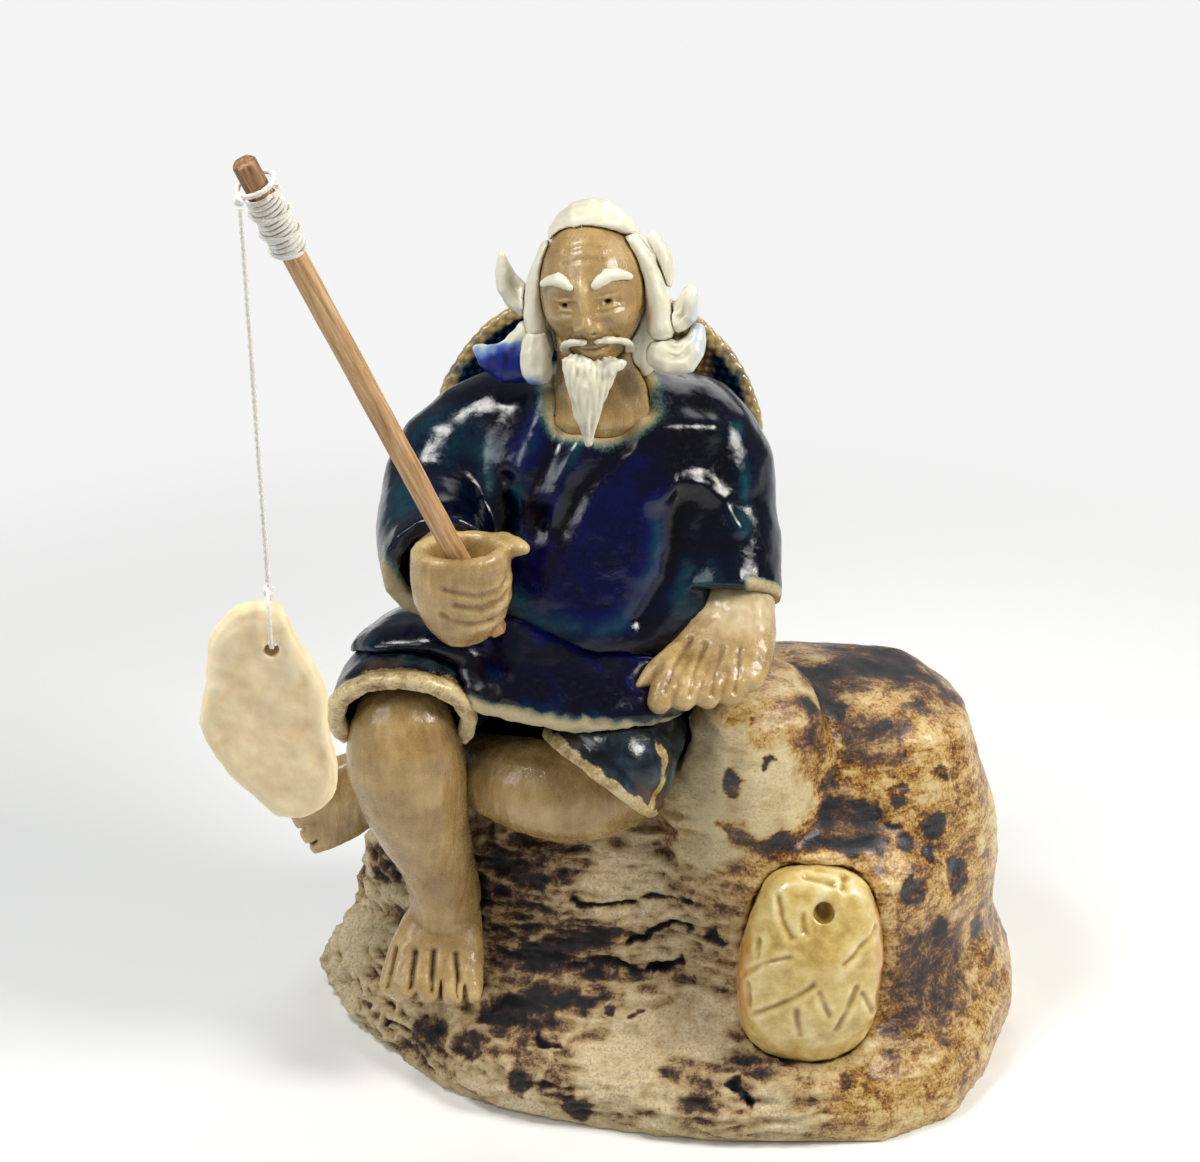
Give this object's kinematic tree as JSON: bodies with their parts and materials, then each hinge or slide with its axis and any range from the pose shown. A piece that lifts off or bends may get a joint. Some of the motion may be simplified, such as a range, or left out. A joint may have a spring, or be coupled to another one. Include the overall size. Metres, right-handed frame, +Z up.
{
  "type": "seated fisherman figurine",
  "caption": "Glazed stoneware figurine of an old fisherman seated on a hollow rock, holding a bamboo rod with a thread line and a flat clay fish.",
  "frame": {"origin": "middle of the figurine's footprint, on the surface it stands on, without the free line and its knots", "axes": "+Z up, the tallest way; the fisherman faces -Y, the shortest way; +X to the boulder beside him"},
  "size_m": [0.1052, 0.082, 0.1337],
  "materials": {
    "brown_stoneware": "unglazed stoneware with a brown and blue-black wash, matt to satin",
    "ochre_glaze": "thin ochre-yellow glaze, satin gloss",
    "cobalt_glaze": "thick glossy cobalt glaze that breaks to teal and tan at its edges",
    "slate_glaze": "blue-grey and brown glaze with a bare tan rim",
    "tan_clay": "bare fine-grained tan clay, satin",
    "white_porcelain": "ivory porcelain, satin, with cobalt on the lowest locks",
    "straw_glaze": "dark blue glaze over a tan rim with an orange patch, glossy",
    "bamboo": "bare split bamboo, matt",
    "cotton_thread": "white cotton sewing thread",
    "cream_clay": "bare cream clay, matt"
  },
  "bodies": {
    "figure": {"rock_base": "brown_stoneware", "fish_creel": "ochre_glaze", "tunic_body": "cobalt_glaze", "tunic_skirt": "cobalt_glaze", "right_sleeve": "cobalt_glaze", "left_sleeve": "cobalt_glaze", "right_trouser": "slate_glaze", "left_trouser": "slate_glaze", "right_leg": "tan_clay", "left_leg": "tan_clay", "left_foot": "tan_clay", "right_hand": "tan_clay", "left_hand": "tan_clay", "neck": "tan_clay", "head": "tan_clay", "right_eyebrow": "white_porcelain", "right_moustache": "white_porcelain", "left_eyebrow": "white_porcelain", "left_moustache": "white_porcelain", "beard": "white_porcelain", "hair_back": "white_porcelain", "topknot": "white_porcelain", "right_lock_temple": "white_porcelain", "right_lock_horn": "white_porcelain", "right_lock_curl": "white_porcelain", "right_lock_drop": "white_porcelain", "left_lock_temple": "white_porcelain", "left_lock_crest": "white_porcelain", "left_lock_curl": "white_porcelain", "left_lock_drop": "white_porcelain", "straw_hat": "straw_glaze"},
    "rod": {"rod": "bamboo", "rod_whipping": "cotton_thread"},
    "line_loop": {"line_loop": "cotton_thread"},
    "line": {"line": "cotton_thread"},
    "fish_tie": {"fish_tie": "cotton_thread"},
    "fish": {"fish": "cream_clay"}
  },
  "joints": [
    {"name": "rod_slide", "type": "slide", "parent": "figure", "child": "rod", "axis": [-0.3098, -0.3652, 0.8779], "range_m": [0, 0.03]},
    {"name": "loop_turn", "type": "hinge", "parent": "rod", "child": "line_loop", "pos_m": [-0.04258, -0.0369, 0.13065], "axis": [-0.3098, -0.3652, 0.8779], "range_deg": [-25, 25]},
    {"name": "line_swing", "type": "hinge", "parent": "line_loop", "child": "line", "pos_m": [-0.04397, -0.03854, 0.12948], "axis": [0.7626, -0.6468, 0], "range_deg": [-60, 12]},
    {"name": "fish_spin", "type": "hinge", "parent": "line", "child": "fish_tie", "pos_m": [-0.04397, -0.03854, 0.08678], "axis": [0, 0, 1], "continuous": true},
    {"name": "fish_swing", "type": "hinge", "parent": "fish_tie", "child": "fish", "pos_m": [-0.04397, -0.03854, 0.08033], "axis": [0.1045, -0.9945, 0], "range_deg": [-20, 20]}
  ]
}
